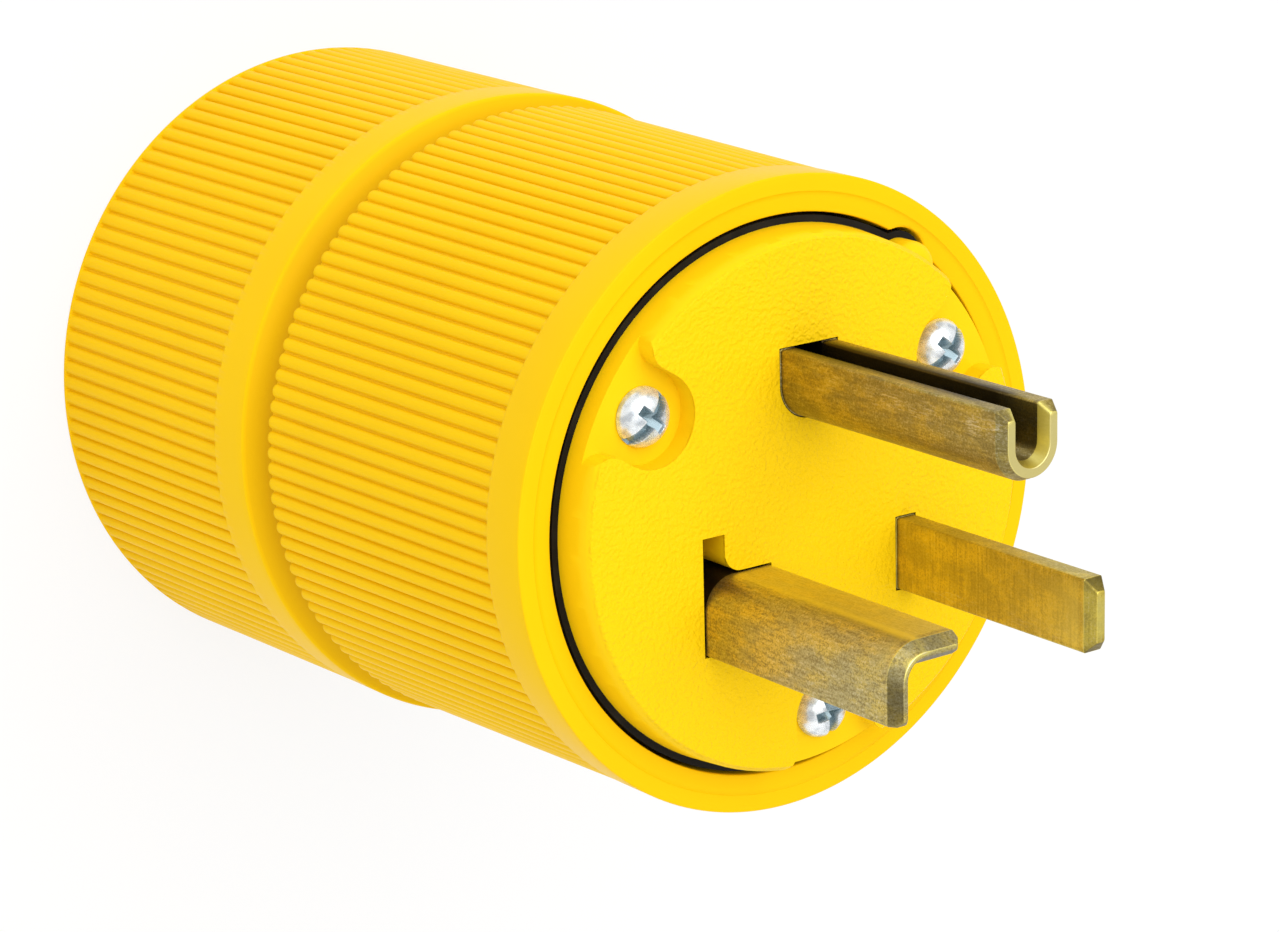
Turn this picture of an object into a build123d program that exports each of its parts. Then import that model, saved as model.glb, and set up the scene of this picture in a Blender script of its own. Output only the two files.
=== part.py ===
from build123d import *
from math import cos, radians, sin
import os

# A wiring plug with three straight blades, standing on its cord end with the blades up.
# The origin is the centre of the rear face, +Z runs along the blades and +Y points to the ground blade.
# Sizes are in millimetres.

# Housing, outside
body_length = 72.3
rear_diameter = 59.4
waist_diameter = 58.4
grip_diameter = 57.1
rim_diameter = 55.4
rear_grip_length = 27.25
waist_band_width = 4.7
cove_run = 2.3
cove_width = 2.6
cove_depth = 1.35
front_band_width = 4.55
edge_break = 0.2
rib_count = 126
rib_height = 0.6
rib_lead_in = 0.9
rib_relief = 0.05
rib_overlap = 0.2

# Housing, inside
rim_bore_diameter = 48.8
lip_diameter = 52.2
lip_fall = 0.05
throat_fall = 0.2
chamber_floor = 24.0
boss_radius = 3.75
rear_wall = 5.0

# Face insert and the inner block behind it
face_rise = 3.4
face_edge = 0.4
face_draft = 0.3
rim_gap = 0.9
insert_depth = 0.4
block_thickness = 15.0
block_clearance = 0.3
pocket_depth = 2.0
pocket_radius = 4.1
pocket_mouth = 8.2
pocket_corner = 2.0
key_angle = 55.0
key_radius = 2.3
key_inset = 1.3
key_drop = 0.8
key_round = 1.3

# Blades
blade_thickness = 2.0
blade_width = 6.35
blade_spacing = 20.8
blade_centre_y = -6.15
blade_projection = 24.3
blade_bevel = 0.5
blade_corner = 1.1
neutral_top_y = -4.25
neutral_height = 6.65
neutral_reach = 6.9
neutral_bend = 1.0
neutral_slot_top = -0.7
neutral_slot_round = 1.7
ground_thickness = 1.6
ground_width = 6.0
ground_height = 6.1
ground_top_y = 13.95
ground_projection = 27.5
ground_bevel = 0.4
ground_corner = 0.9
slot_clearance = 0.15
shank_width = 9.0
shoulder_width = 12.0
shoulder_height = 2.0

# Terminals
terminal_drop = 7.0
shank_tail = 5.0
clamp_plate = 8.0
clamp_plate_thickness = 1.6
terminal_screw_radius = 2.0
terminal_screw_grip = 6.2
terminal_head_radius = 3.6
terminal_head_height = 2.6
drive_slot = 1.0
drive_depth = 1.1
screw_clearance = 0.1

# Face screws
face_screw_circle = 38.2
face_screw_angles = (147.5, 34.0, -83.5)
face_screw_radius = 1.75
face_screw_length = 30.0
face_head_radius = 2.55
face_head_height = 1.9
face_head_side = 0.4
face_hole_clearance = 0.25
boss_tip_room = 1.5

# Cord entry and cord clamp
cord_radius = 9.5
bushing_radius = 12.0
bushing_flange_radius = 14.5
bushing_flange_height = 2.0
bushing_inset = 0.5
bushing_clearance = 0.1
jaw_channel_radius = 8.5
jaw_gap = 1.5
jaw_depth = 11.75
jaw_width = 33.0
jaw_height = 12.0
jaw_clearance = 0.3
jaw_tooth_height = 0.8
jaw_tooth_width = 1.6
jaw_tooth_count = 3
clamp_screw_spacing = 25.0
clamp_screw_radius = 2.0
clamp_head_radius = 3.5
clamp_head_height = 2.6
clamp_head_room = 1.2
clamp_access_clearance = 0.6
pocket_corner_round = 2.0

# Levels and radii that follow from the sizes above
rear_radius = rear_diameter / 2
waist_radius = waist_diameter / 2
grip_radius = grip_diameter / 2
rim_radius = rim_diameter / 2
bore_radius = rim_bore_diameter / 2
waist_end = rear_grip_length + waist_band_width
front_grip_start = waist_end + cove_width
front_grip_end = body_length - front_band_width
face_level = body_length + face_rise
pocket_level = face_level - pocket_depth
insert_bottom = body_length - insert_depth
shoulder_bottom = insert_bottom - shoulder_height
block_bottom = insert_bottom - block_thickness
terminal_level = block_bottom - terminal_drop
shank_bottom = terminal_level - shank_tail
insert_radius = bore_radius - rim_gap
block_radius = bore_radius - block_clearance
face_screw_tip = pocket_level - face_screw_length
neutral_left = -blade_spacing / 2 - blade_thickness / 2
neutral_centre_y = neutral_top_y - neutral_height / 2
ground_bottom_y = ground_top_y - ground_height
ground_centre_y = ground_bottom_y + ground_width / 2
jaw_level = rear_wall + jaw_height / 2
jaw_outer = jaw_gap / 2 + jaw_depth
pocket_x_low = -jaw_outer - jaw_clearance
pocket_x_high = jaw_outer + clamp_head_height + clamp_head_room
pocket_half_width = jaw_width / 2 + jaw_clearance
clamp_hole_radius = clamp_screw_radius + screw_clearance

# One rib across its pitch: share of the pitch and share of the rib height
rib_shape = ((-0.5, 0.0), (-0.2, 1.0), (0.2, 1.0))


def around(radius, angle):
    """Place a point at a radius and an angle about the plug's axis."""
    return (radius * cos(radians(angle)), radius * sin(radians(angle)))


face_screw_places = [
    Location((*around(face_screw_circle / 2, angle), 0), (0, 0, angle)) for angle in face_screw_angles
]
key_place = Location((*around(insert_radius - key_inset, key_angle), 0))
line_place = (blade_spacing / 2, blade_centre_y)


def rib_ring(level, tip_radius, height):
    """Draw the closed outline of all the ribs at one level."""
    pitch = 360 / rib_count
    points = [
        around(tip_radius - rib_height + share_up * height, (rib + share_along) * pitch)
        for rib in range(rib_count)
        for share_along, share_up in rib_shape
    ]
    with BuildSketch(Plane.XY.offset(level)) as ring:
        Polygon(*points, align=None)
    return ring.sketch


def line_outline(extra=0.0, width=blade_width):
    """Draw the straight blade's section, larger all round by extra."""
    with Locations(line_place):
        Rectangle(blade_thickness + 2 * extra, width + 2 * extra)


def neutral_leg(extra=0.0, width=neutral_height):
    """Draw the section of the upright leg of the L blade alone."""
    with Locations((-blade_spacing / 2, neutral_centre_y)):
        Rectangle(blade_thickness + 2 * extra, width + 2 * extra)


def neutral_outline(extra=0.0):
    """Draw the L blade's whole section with its bend, larger all round by extra."""
    with BuildSketch(mode=Mode.PRIVATE) as section:
        with Locations((neutral_left, neutral_top_y)):
            Rectangle(blade_thickness, neutral_height, align=(Align.MIN, Align.MAX))
            Rectangle(neutral_reach, blade_thickness, align=(Align.MIN, Align.MAX))
        inner_corner = (neutral_left + blade_thickness, neutral_top_y - blade_thickness)
        fillet(section.vertices().sort_by_distance((*inner_corner, 0))[0], neutral_bend)
        outer_corner = (neutral_left, neutral_top_y)
        fillet(section.vertices().sort_by_distance((*outer_corner, 0))[0], neutral_bend + blade_thickness)
        if extra > 0:
            offset(amount=extra, kind=Kind.INTERSECTION)
    add(section.sketch)


def neutral_shoulder(extra=0.0):
    """Draw the section of the L blade's shoulder, which widens its upright leg away from the bend."""
    with Locations((-blade_spacing / 2, neutral_top_y - blade_thickness - neutral_bend)):
        Rectangle(
            blade_thickness + 2 * extra,
            shoulder_width / 2 + neutral_height / 2 - blade_thickness - neutral_bend + extra,
            align=(Align.CENTER, Align.MAX),
        )


def ground_outline(extra=0.0):
    """Draw the U blade's outer section as a filled D, larger all round by extra."""
    with Locations((0, ground_centre_y)):
        Circle(ground_width / 2 + extra)
        Rectangle(
            ground_width + 2 * extra,
            ground_top_y - ground_centre_y + extra,
            align=(Align.CENTER, Align.MIN),
        )


def ground_tab(extra=0.0, width=shank_width):
    """Draw the section of the flat tab that carries the ground terminal."""
    with Locations((0, ground_bottom_y + ground_thickness / 2)):
        Rectangle(width + 2 * extra, ground_thickness + 2 * extra)


# Everything that is hollow inside the housing, as one body to take out of it
with BuildPart() as hollow:
    # The wiring chamber, with three bosses for the face screws, each webbed to the wall
    with BuildSketch(Plane.XY.offset(chamber_floor)):
        Circle(bore_radius)
    extrude(amount=face_level - chamber_floor)
    with BuildSketch(Plane.XY.offset(chamber_floor)):
        with Locations(*face_screw_places):
            Circle(boss_radius)
            Rectangle(bore_radius, 2 * boss_radius, align=(Align.MIN, Align.CENTER))
    extrude(amount=block_bottom - chamber_floor, mode=Mode.SUBTRACT)
    with BuildSketch(Plane.XY.offset(block_bottom)):
        with Locations(*face_screw_places):
            Circle(face_screw_radius + screw_clearance)
    extrude(amount=-(block_bottom - face_screw_tip + boss_tip_room))
    # The key's notch, from the rim down past the inner block
    with BuildSketch(Plane.XY.offset(block_bottom)):
        with Locations(key_place):
            Circle(key_radius + rim_gap)
    extrude(amount=face_level - block_bottom)
    # The cord clamp's pocket, the stepped cord entry and the two holes that reach the clamp screws
    with BuildSketch(Plane.XY.offset(rear_wall)):
        with Locations(((pocket_x_low + pocket_x_high) / 2, 0)):
            RectangleRounded(pocket_x_high - pocket_x_low, 2 * pocket_half_width, pocket_corner_round)
    extrude(amount=chamber_floor - rear_wall)
    with BuildSketch(Plane.XY.offset(rear_wall)):
        Circle(bushing_flange_radius + bushing_clearance)
    extrude(amount=-bushing_flange_height)
    with BuildSketch(Plane.XY.offset(rear_wall)):
        Circle(bushing_radius + bushing_clearance)
    extrude(amount=-2 * rear_wall)
    with BuildSketch(Plane.YZ.offset(jaw_outer)):
        with Locations((0, jaw_level)):
            with GridLocations(clamp_screw_spacing, 0, 2, 1):
                Circle(clamp_head_radius + clamp_access_clearance)
    extrude(amount=rear_diameter)

# The housing is one moulding: two ribbed grips, a waist band with a step, and a rim round the face.
with BuildPart() as housing:
    with BuildSketch(Plane.XZ):
        rear_core = rear_radius - rib_height - rib_overlap
        waist_core = waist_radius - rib_height - rib_overlap
        cove_radius = grip_radius - cove_depth
        grip_core = grip_radius - rib_height - rib_overlap
        rim_core = rim_radius - rib_height - rib_overlap
        with BuildLine():
            Polyline(
                (0, 0),
                (rear_core, 0),
                (waist_core, rear_grip_length),
                (waist_radius, rear_grip_length),
                (waist_radius, waist_end - edge_break),
                (waist_radius - edge_break, waist_end),
            )
            TangentArc(
                (cove_radius, waist_end + cove_run),
                (waist_radius - edge_break, waist_end),
                tangent=(0, -1),
            )
            Polyline(
                (cove_radius, waist_end + cove_run),
                (cove_radius, front_grip_start),
                (grip_core, front_grip_start),
                (rim_core, front_grip_end),
                (rim_radius, front_grip_end),
                (rim_radius, body_length - edge_break),
                (rim_radius - edge_break, body_length),
                (lip_diameter / 2, body_length - lip_fall),
                (bore_radius, body_length - throat_fall),
                (0, body_length - throat_fall),
                (0, 0),
            )
        make_face()
    revolve(axis=Axis.Z)
    rear_tip = rear_radius - rib_relief
    waist_tip = waist_radius - rib_relief
    grip_tip = grip_radius - rib_relief
    rim_tip = rim_radius - rib_relief
    low_rib = 0.15 * rib_height
    rear_grip = loft(
        [rib_ring(0, rear_tip, rib_height), rib_ring(rear_grip_length, waist_tip, rib_height)],
        ruled=True,
        mode=Mode.PRIVATE,
    )
    front_grip = loft(
        [
            rib_ring(front_grip_start, grip_tip, low_rib),
            rib_ring(front_grip_start + rib_lead_in, grip_tip, rib_height),
            rib_ring(front_grip_end, rim_tip, rib_height),
        ],
        ruled=True,
        mode=Mode.PRIVATE,
    )
    add([rear_grip, front_grip], clean=False)
    add(hollow.part, mode=Mode.SUBTRACT, clean=False)

# The key on the insert's edge is a round-topped post.
with BuildPart() as key_post:
    with BuildSketch(Plane.XY.offset(insert_bottom)):
        with Locations(key_place):
            Circle(key_radius)
    extrude(amount=face_level - key_drop - insert_bottom)
    fillet(key_post.edges().group_by(Axis.Z)[-1], key_round)

# The face insert stands proud of the rim, with a lower pocket open to the rim round each screw.
with BuildPart() as face_insert:
    with BuildSketch(Plane.XZ):
        face_radius = insert_radius - face_draft
        with BuildLine():
            Polyline(
                (0, insert_bottom),
                (insert_radius, insert_bottom),
                (face_radius, face_level - face_edge),
                (face_radius - face_edge, face_level),
                (0, face_level),
                (0, insert_bottom),
            )
        make_face()
    revolve(axis=Axis.Z)
    add(key_post.part)
    # Each pocket is a round well with a mouth that flares where it meets the insert's edge
    with BuildSketch(Plane.XY.offset(pocket_level)) as pockets:
        Circle(bore_radius)
        Circle(insert_radius, mode=Mode.SUBTRACT)
        with Locations(*face_screw_places):
            Circle(pocket_radius)
            Rectangle(bore_radius - face_screw_circle / 2, pocket_mouth, align=(Align.MIN, Align.CENTER))
        mouth_corners = pockets.vertices().filter_by(
            lambda corner: abs(Vector(corner.X, corner.Y).length - insert_radius) < rib_relief
        )
        fillet(mouth_corners, pocket_corner)
        with Locations(key_place):
            Circle(key_radius + rim_gap, mode=Mode.SUBTRACT)
    extrude(amount=pocket_depth, mode=Mode.SUBTRACT)
    # Slots for the blades; the upright of the L slot runs on past the blade's bend
    with BuildSketch(Plane.XY.offset(insert_bottom)) as face_slots:
        line_outline(slot_clearance)
        ground_outline(slot_clearance)
        neutral_outline(slot_clearance)
        slot_left = neutral_left - slot_clearance
        slot_right = neutral_left + blade_thickness + slot_clearance
        slot_low = neutral_top_y - neutral_height - slot_clearance
        with Locations((slot_left, slot_low)):
            Rectangle(slot_right - slot_left, neutral_slot_top - slot_low, align=(Align.MIN, Align.MIN))
        with Locations((slot_left, neutral_top_y + slot_clearance)):
            Rectangle(
                neutral_reach + 2 * slot_clearance,
                blade_thickness + 2 * slot_clearance,
                align=(Align.MIN, Align.MAX),
            )
        slot_corner = (slot_right, neutral_top_y + slot_clearance, 0)
        fillet(face_slots.vertices().sort_by_distance(slot_corner)[0], neutral_slot_round)
        with Locations(*face_screw_places):
            Circle(face_screw_radius + face_hole_clearance)
    extrude(amount=face_level - insert_bottom, mode=Mode.SUBTRACT)

# The inner block carries the blades' shoulders under the face insert and shows as a dark ring round it.
with BuildPart() as terminal_block:
    with BuildSketch(Plane.XY.offset(block_bottom)):
        Circle(block_radius)
        with Locations(key_place):
            Circle(key_radius + rim_gap - block_clearance)
    extrude(amount=block_thickness)
    with BuildSketch(Plane.XY.offset(block_bottom)):
        line_outline(slot_clearance, shank_width)
        neutral_leg(slot_clearance, shank_width)
        ground_tab(slot_clearance)
        with Locations(*face_screw_places):
            Circle(face_screw_radius + face_hole_clearance)
    extrude(amount=block_thickness, mode=Mode.SUBTRACT)
    with BuildSketch(Plane.XY.offset(shoulder_bottom)):
        line_outline(slot_clearance, shoulder_width)
        neutral_outline(slot_clearance)
        neutral_shoulder(slot_clearance)
        ground_outline(slot_clearance)
        ground_tab(slot_clearance)
    extrude(amount=shoulder_height, mode=Mode.SUBTRACT)

# The straight line blade: tapered tip, trapped shoulder and a tapped shank below the block.
with BuildPart() as line_blade:
    with BuildSketch(Plane.XY.offset(insert_bottom)):
        line_outline()
    extrude(amount=face_level + blade_projection - insert_bottom)
    chamfer(line_blade.faces().sort_by(Axis.Z)[-1].edges().filter_by(Axis.X), blade_corner)
    chamfer(line_blade.faces().sort_by(Axis.Z)[-1].edges().filter_by(Axis.Y), blade_bevel)
    with BuildSketch(Plane.XY.offset(shoulder_bottom)):
        line_outline(width=shoulder_width)
    extrude(amount=shoulder_height)
    with BuildSketch(Plane.XY.offset(shank_bottom)):
        line_outline(width=shank_width)
    extrude(amount=shoulder_bottom - shank_bottom)
    with BuildSketch(Plane.YZ):
        with Locations((blade_centre_y, terminal_level)):
            Circle(terminal_screw_radius + screw_clearance)
    extrude(amount=blade_spacing, mode=Mode.SUBTRACT)

# The neutral blade is bent to an L; only its upright leg goes on to the terminal.
with BuildPart() as neutral_blade:
    with BuildSketch(Plane.XY.offset(shoulder_bottom)):
        neutral_outline()
    extrude(amount=face_level + blade_projection - shoulder_bottom)
    chamfer(neutral_blade.faces().sort_by(Axis.Z)[-1].edges(), blade_bevel)
    with BuildSketch(Plane.XY.offset(shoulder_bottom)):
        neutral_shoulder()
    extrude(amount=shoulder_height)
    with BuildSketch(Plane.XY.offset(shank_bottom)):
        neutral_leg(width=shank_width)
    extrude(amount=shoulder_bottom - shank_bottom)
    with BuildSketch(Plane.YZ):
        with Locations((neutral_centre_y, terminal_level)):
            Circle(terminal_screw_radius + screw_clearance)
    extrude(amount=-blade_spacing, mode=Mode.SUBTRACT)

# The ground blade is folded to a U, open away from the centre, on a flat terminal tab.
with BuildPart() as ground_blade:
    with BuildSketch(Plane.XY.offset(shoulder_bottom)):
        ground_outline()
        with Locations((0, ground_centre_y)):
            Circle(ground_width / 2 - ground_thickness, mode=Mode.SUBTRACT)
            Rectangle(
                ground_width - 2 * ground_thickness,
                ground_height,
                align=(Align.CENTER, Align.MIN),
                mode=Mode.SUBTRACT,
            )
    extrude(amount=face_level + ground_projection - shoulder_bottom)
    tip_edges = ground_blade.faces().sort_by(Axis.Z)[-1].edges()
    chamfer(tip_edges.sort_by(Axis.Y)[-2:], ground_corner)
    chamfer(ground_blade.faces().sort_by(Axis.Z)[-1].edges().sort_by(Axis.Y)[:-2], ground_bevel)
    with BuildSketch(Plane.XY.offset(shank_bottom)):
        ground_tab()
    extrude(amount=insert_bottom - shank_bottom)
    with BuildSketch(Plane.XZ):
        with Locations((0, terminal_level)):
            Circle(terminal_screw_radius + screw_clearance)
    extrude(amount=-ground_top_y, mode=Mode.SUBTRACT)


def pressure_plate(plane):
    """Add a square wire clamp on the given plane, bored for the terminal screw."""
    with BuildSketch(plane) as plate:
        RectangleRounded(clamp_plate, clamp_plate, edge_break)
        Circle(terminal_screw_radius + screw_clearance, mode=Mode.SUBTRACT)
    extrude(plate.sketch, amount=clamp_plate_thickness)


def slotted_screw(plane, radius, reach, head_radius, head_height):
    """Add a cheese-head screw whose head sits on the given plane and whose shank goes down from it."""
    with BuildSketch(plane) as shank:
        Circle(radius)
    extrude(shank.sketch, amount=-reach)
    with BuildSketch(plane) as head:
        Circle(head_radius)
    extrude(head.sketch, amount=head_height)
    with BuildSketch(plane.offset(head_height)) as slot:
        Rectangle(3 * head_radius, drive_slot)
    extrude(slot.sketch, amount=-drive_depth, mode=Mode.SUBTRACT)


line_plane = Plane(
    origin=(blade_spacing / 2 + blade_thickness / 2, blade_centre_y, terminal_level),
    x_dir=(0, 1, 0),
    z_dir=(1, 0, 0),
)
neutral_plane = Plane(
    origin=(neutral_left, neutral_centre_y, terminal_level), x_dir=(0, -1, 0), z_dir=(-1, 0, 0)
)
ground_plane = Plane(
    origin=(0, ground_bottom_y + ground_thickness, terminal_level), x_dir=(-1, 0, 0), z_dir=(0, 1, 0)
)

with BuildPart() as line_clamp:
    pressure_plate(line_plane)
with BuildPart() as neutral_clamp:
    pressure_plate(neutral_plane)
with BuildPart() as ground_clamp:
    pressure_plate(ground_plane)

with BuildPart() as line_screw:
    slotted_screw(
        line_plane.offset(clamp_plate_thickness),
        terminal_screw_radius,
        terminal_screw_grip,
        terminal_head_radius,
        terminal_head_height,
    )
with BuildPart() as neutral_screw:
    slotted_screw(
        neutral_plane.offset(clamp_plate_thickness),
        terminal_screw_radius,
        terminal_screw_grip,
        terminal_head_radius,
        terminal_head_height,
    )
with BuildPart() as ground_screw:
    slotted_screw(
        ground_plane.offset(clamp_plate_thickness),
        terminal_screw_radius,
        terminal_screw_grip,
        terminal_head_radius,
        terminal_head_height,
    )

# Three pan-head screws with a slot crossed by a shorter one, from the pocket floors into the bosses.
with BuildPart() as face_screws:
    with BuildSketch(Plane.XY.offset(face_screw_tip)):
        with Locations(*face_screw_places):
            Circle(face_screw_radius)
    extrude(amount=face_screw_length)
    with BuildSketch(Plane.XY.offset(pocket_level)):
        with Locations(*face_screw_places):
            Circle(face_head_radius)
    extrude(amount=face_head_height)
    head_rims = face_screws.faces().group_by(Axis.Z)[-1].edges()
    fillet(head_rims, face_head_height - face_head_side)
    with BuildSketch(Plane.XY.offset(pocket_level + face_head_height)):
        with Locations(*face_screw_places):
            Rectangle(3 * face_head_radius, drive_slot)
            Rectangle(drive_slot, face_head_radius)
    extrude(amount=-drive_depth, mode=Mode.SUBTRACT)

# The cord bushing is a rubber ring, trapped between the rear wall and the clamp jaws.
with BuildPart() as cord_bushing:
    with BuildSketch(Plane.XY.offset(bushing_inset)):
        Circle(bushing_radius)
    extrude(amount=rear_wall - bushing_inset)
    with BuildSketch(Plane.XY.offset(rear_wall)):
        Circle(bushing_flange_radius)
    extrude(amount=-bushing_flange_height)
    with BuildSketch():
        Circle(cord_radius)
    extrude(amount=rear_wall, mode=Mode.SUBTRACT)


def jaw_block(side):
    """Add one clamp jaw: a block with a toothed half-round channel for the cord."""
    tooth_pitch = jaw_height / jaw_tooth_count
    with BuildSketch(Plane.XY.offset(rear_wall)) as body:
        with Locations((side * (jaw_gap + jaw_depth) / 2, 0)):
            Rectangle(jaw_depth, jaw_width)
        fillet(body.vertices().sort_by(Axis.X, reverse=side > 0)[:2], pocket_corner_round - jaw_clearance)
        Circle(jaw_channel_radius + jaw_tooth_height, mode=Mode.SUBTRACT)
    extrude(body.sketch, amount=jaw_height)
    for tooth in range(jaw_tooth_count):
        tooth_level = rear_wall + (tooth + 0.5) * tooth_pitch - jaw_tooth_width / 2
        with BuildSketch(Plane.XY.offset(tooth_level)) as ridge:
            Circle(jaw_channel_radius + 1.5 * jaw_tooth_height)
            Circle(jaw_channel_radius, mode=Mode.SUBTRACT)
            with Locations((side * (jaw_gap - jaw_width) / 2, 0)):
                Rectangle(jaw_width, jaw_width, mode=Mode.SUBTRACT)
        extrude(ridge.sketch, amount=jaw_tooth_width)
    with BuildSketch(Plane.YZ.offset(-jaw_outer)) as holes:
        with Locations((0, jaw_level)):
            with GridLocations(clamp_screw_spacing, 0, 2, 1):
                Circle(clamp_hole_radius)
    extrude(holes.sketch, amount=2 * jaw_outer, mode=Mode.SUBTRACT)


with BuildPart() as clamp_jaw_fixed:
    jaw_block(-1)
with BuildPart() as clamp_jaw_moving:
    jaw_block(1)

with BuildPart() as clamp_screws:
    for side in (-1, 1):
        slotted_screw(
            Plane(
                origin=(jaw_outer, side * clamp_screw_spacing / 2, jaw_level),
                x_dir=(0, 1, 0),
                z_dir=(1, 0, 0),
            ),
            clamp_screw_radius,
            2 * jaw_outer - jaw_clearance,
            clamp_head_radius,
            clamp_head_height,
        )

pieces = {
    "housing": housing,
    "face_insert": face_insert,
    "terminal_block": terminal_block,
    "line_blade": line_blade,
    "neutral_blade": neutral_blade,
    "ground_blade": ground_blade,
    "line_clamp": line_clamp,
    "neutral_clamp": neutral_clamp,
    "ground_clamp": ground_clamp,
    "line_screw": line_screw,
    "neutral_screw": neutral_screw,
    "ground_screw": ground_screw,
    "face_screws": face_screws,
    "cord_bushing": cord_bushing,
    "clamp_jaw_fixed": clamp_jaw_fixed,
    "clamp_jaw_moving": clamp_jaw_moving,
    "clamp_screws": clamp_screws,
}

os.makedirs("parts", exist_ok=True)
for name, piece in pieces.items():
    piece.part.label = name
    export_step(piece.part, f"parts/{name}.step")
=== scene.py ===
import logging
import math
from dataclasses import dataclass, field
from enum import Enum
from typing import Any

import bmesh
import bpy
import numpy as np
from mathutils import Matrix, Vector


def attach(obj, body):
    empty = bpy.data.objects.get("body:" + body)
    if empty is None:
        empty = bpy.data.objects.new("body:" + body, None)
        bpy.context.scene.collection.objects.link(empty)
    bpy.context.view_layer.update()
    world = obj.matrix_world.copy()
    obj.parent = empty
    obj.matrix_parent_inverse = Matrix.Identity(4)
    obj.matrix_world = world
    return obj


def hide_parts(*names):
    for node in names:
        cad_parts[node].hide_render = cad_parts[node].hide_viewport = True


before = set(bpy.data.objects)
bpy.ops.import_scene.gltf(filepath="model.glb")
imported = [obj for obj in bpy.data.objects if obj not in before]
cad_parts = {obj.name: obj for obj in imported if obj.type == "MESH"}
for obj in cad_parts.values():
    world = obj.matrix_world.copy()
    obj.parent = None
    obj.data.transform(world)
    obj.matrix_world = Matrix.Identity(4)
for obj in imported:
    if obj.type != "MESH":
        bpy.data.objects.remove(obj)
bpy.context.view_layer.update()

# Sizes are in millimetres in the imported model's frame; meshes, lamps and the floor are made in metres.
MM = 0.001
TINY = 1e-6
BODY = "root"
FACE_LEVEL = 75.7
SCREW_CIRCLE = 19.1
SCREW_ANGLES = (147.5, 34.0, -83.5)
LOG = logging.getLogger("plug")

Pair = tuple[float, float]
Colour = tuple[float, float, float]
Place = tuple[float, float, float]


def quarter_round(share: np.ndarray) -> np.ndarray:
    """Rise from 0 to 1 along a quarter circle.

    Args:
        share: how far along the rise each value is, from 0 to 1.

    Returns:
        sqrt(1 - (1 - share)^2), which starts steep and ends level.
    """
    return np.sqrt(np.clip(1.0 - (1.0 - np.clip(share, 0.0, 1.0)) ** 2, 0.0, 1.0))


def soft_step(value: np.ndarray, edge: float, width: float) -> np.ndarray:
    """Rise smoothly from 0 to 1 as a value passes an edge.

    Args:
        value: the values to test.
        edge: the middle of the rise.
        width: the full width of the rise.

    Returns:
        3t^2 - 2t^3 with t running from 0 to 1 over the rise.
    """
    t = np.clip((value - edge) / width + 0.5, 0.0, 1.0)
    return t * t * (3.0 - 2.0 * t)


def bell(value: np.ndarray, width: float) -> np.ndarray:
    """Bell curve exp(-(value / width)^2)."""
    return np.exp(-((value / width) ** 2))


def fade(value: np.ndarray, length: float) -> np.ndarray:
    """Falling curve exp(-|value| / length)."""
    return np.exp(-np.abs(value) / length)


def spread(first: np.ndarray, *others: np.ndarray) -> np.ndarray:
    """Join runs of numbers into one rising run without repeats."""
    return np.unique(np.round(np.concatenate([first, *others]), 9))


def circle(points: int) -> np.ndarray:
    """Angles spread evenly once round, in radians."""
    return np.linspace(0.0, 2 * np.pi, points, endpoint=False)


@dataclass
class Draft:
    """The vertices, faces and point values of one piece, gathered as arrays in millimetres."""

    points: list[np.ndarray] = field(default_factory=list)
    quads: list[np.ndarray] = field(default_factory=list)
    fans: list[np.ndarray] = field(default_factory=list)
    # per-point values: rubbing and grime, painted shade and painted highlights
    wear_and_painted_light: list[np.ndarray] = field(default_factory=list)
    size: int = 0

    def add_points(self, points: np.ndarray, wear_and_painted_light: np.ndarray | None = None) -> np.ndarray:
        """Add an array of points.

        Args:
            points: array whose last axis is x, y, z.
            wear_and_painted_light: each point's value in the same layout: rubbing and grime, painted shade
                and painted highlights.

        Returns:
            The points' indices in the layout of the array.
        """
        layout = points.shape[:-1]
        count = int(np.prod(layout))
        self.points.append(points.reshape(-1, 3))
        self.wear_and_painted_light.append(np.zeros(count) if wear_and_painted_light is None else np.broadcast_to(wear_and_painted_light, layout).ravel())
        index = np.arange(self.size, self.size + count).reshape(layout)
        self.size += count
        return index

    def skin(self, index: np.ndarray, ring_u: bool = False, ring_v: bool = False) -> None:
        """Cover a grid of points with quads that face along (v step) x (u step).

        Args:
            index: the grid of point indices, u along the first axis and v along the second.
            ring_u: whether the last row joins the first.
            ring_v: whether the last column joins the first.
        """
        if ring_u:
            index = np.concatenate([index, index[:1]], axis=0)
        if ring_v:
            index = np.concatenate([index, index[:, :1]], axis=1)
        corners = (index[:-1, :-1], index[:-1, 1:], index[1:, 1:], index[1:, :-1])
        self.quads.append(np.stack([corner.ravel() for corner in corners], axis=1))

    def fan(self, ring: np.ndarray, middle: int) -> None:
        """Close a ring of points with triangles to a middle point, in the ring's turning sense."""
        self.fans.append(np.stack([ring, np.roll(ring, -1), np.full(len(ring), middle)], axis=1))

    def mesh(self, name: str) -> bpy.types.Mesh:
        """Make the mesh in metres, with its point values as a point attribute: rubbing and grime, painted
        shade and painted highlights.

        Args:
            name: the mesh's name.

        Returns:
            The finished mesh.
        """
        made = bpy.data.meshes.new(name)
        faces = [row for block in (*self.quads, *self.fans) for row in block.tolist()]
        made.from_pydata((np.concatenate(self.points) * MM).tolist(), [], faces)
        attribute = made.attributes.new("wear_and_painted_light", "FLOAT", "POINT")
        attribute.data.foreach_set("value", np.concatenate(self.wear_and_painted_light).astype(np.float32))
        made.update()
        return made


def smooth_by_angle(mesh: bpy.types.Mesh, degrees: float) -> None:
    """Shade a mesh smooth, but keep edges sharper than an angle crisp."""
    mesh.shade_smooth()
    mesh.set_sharp_from_angle(angle=math.radians(degrees))


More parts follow.
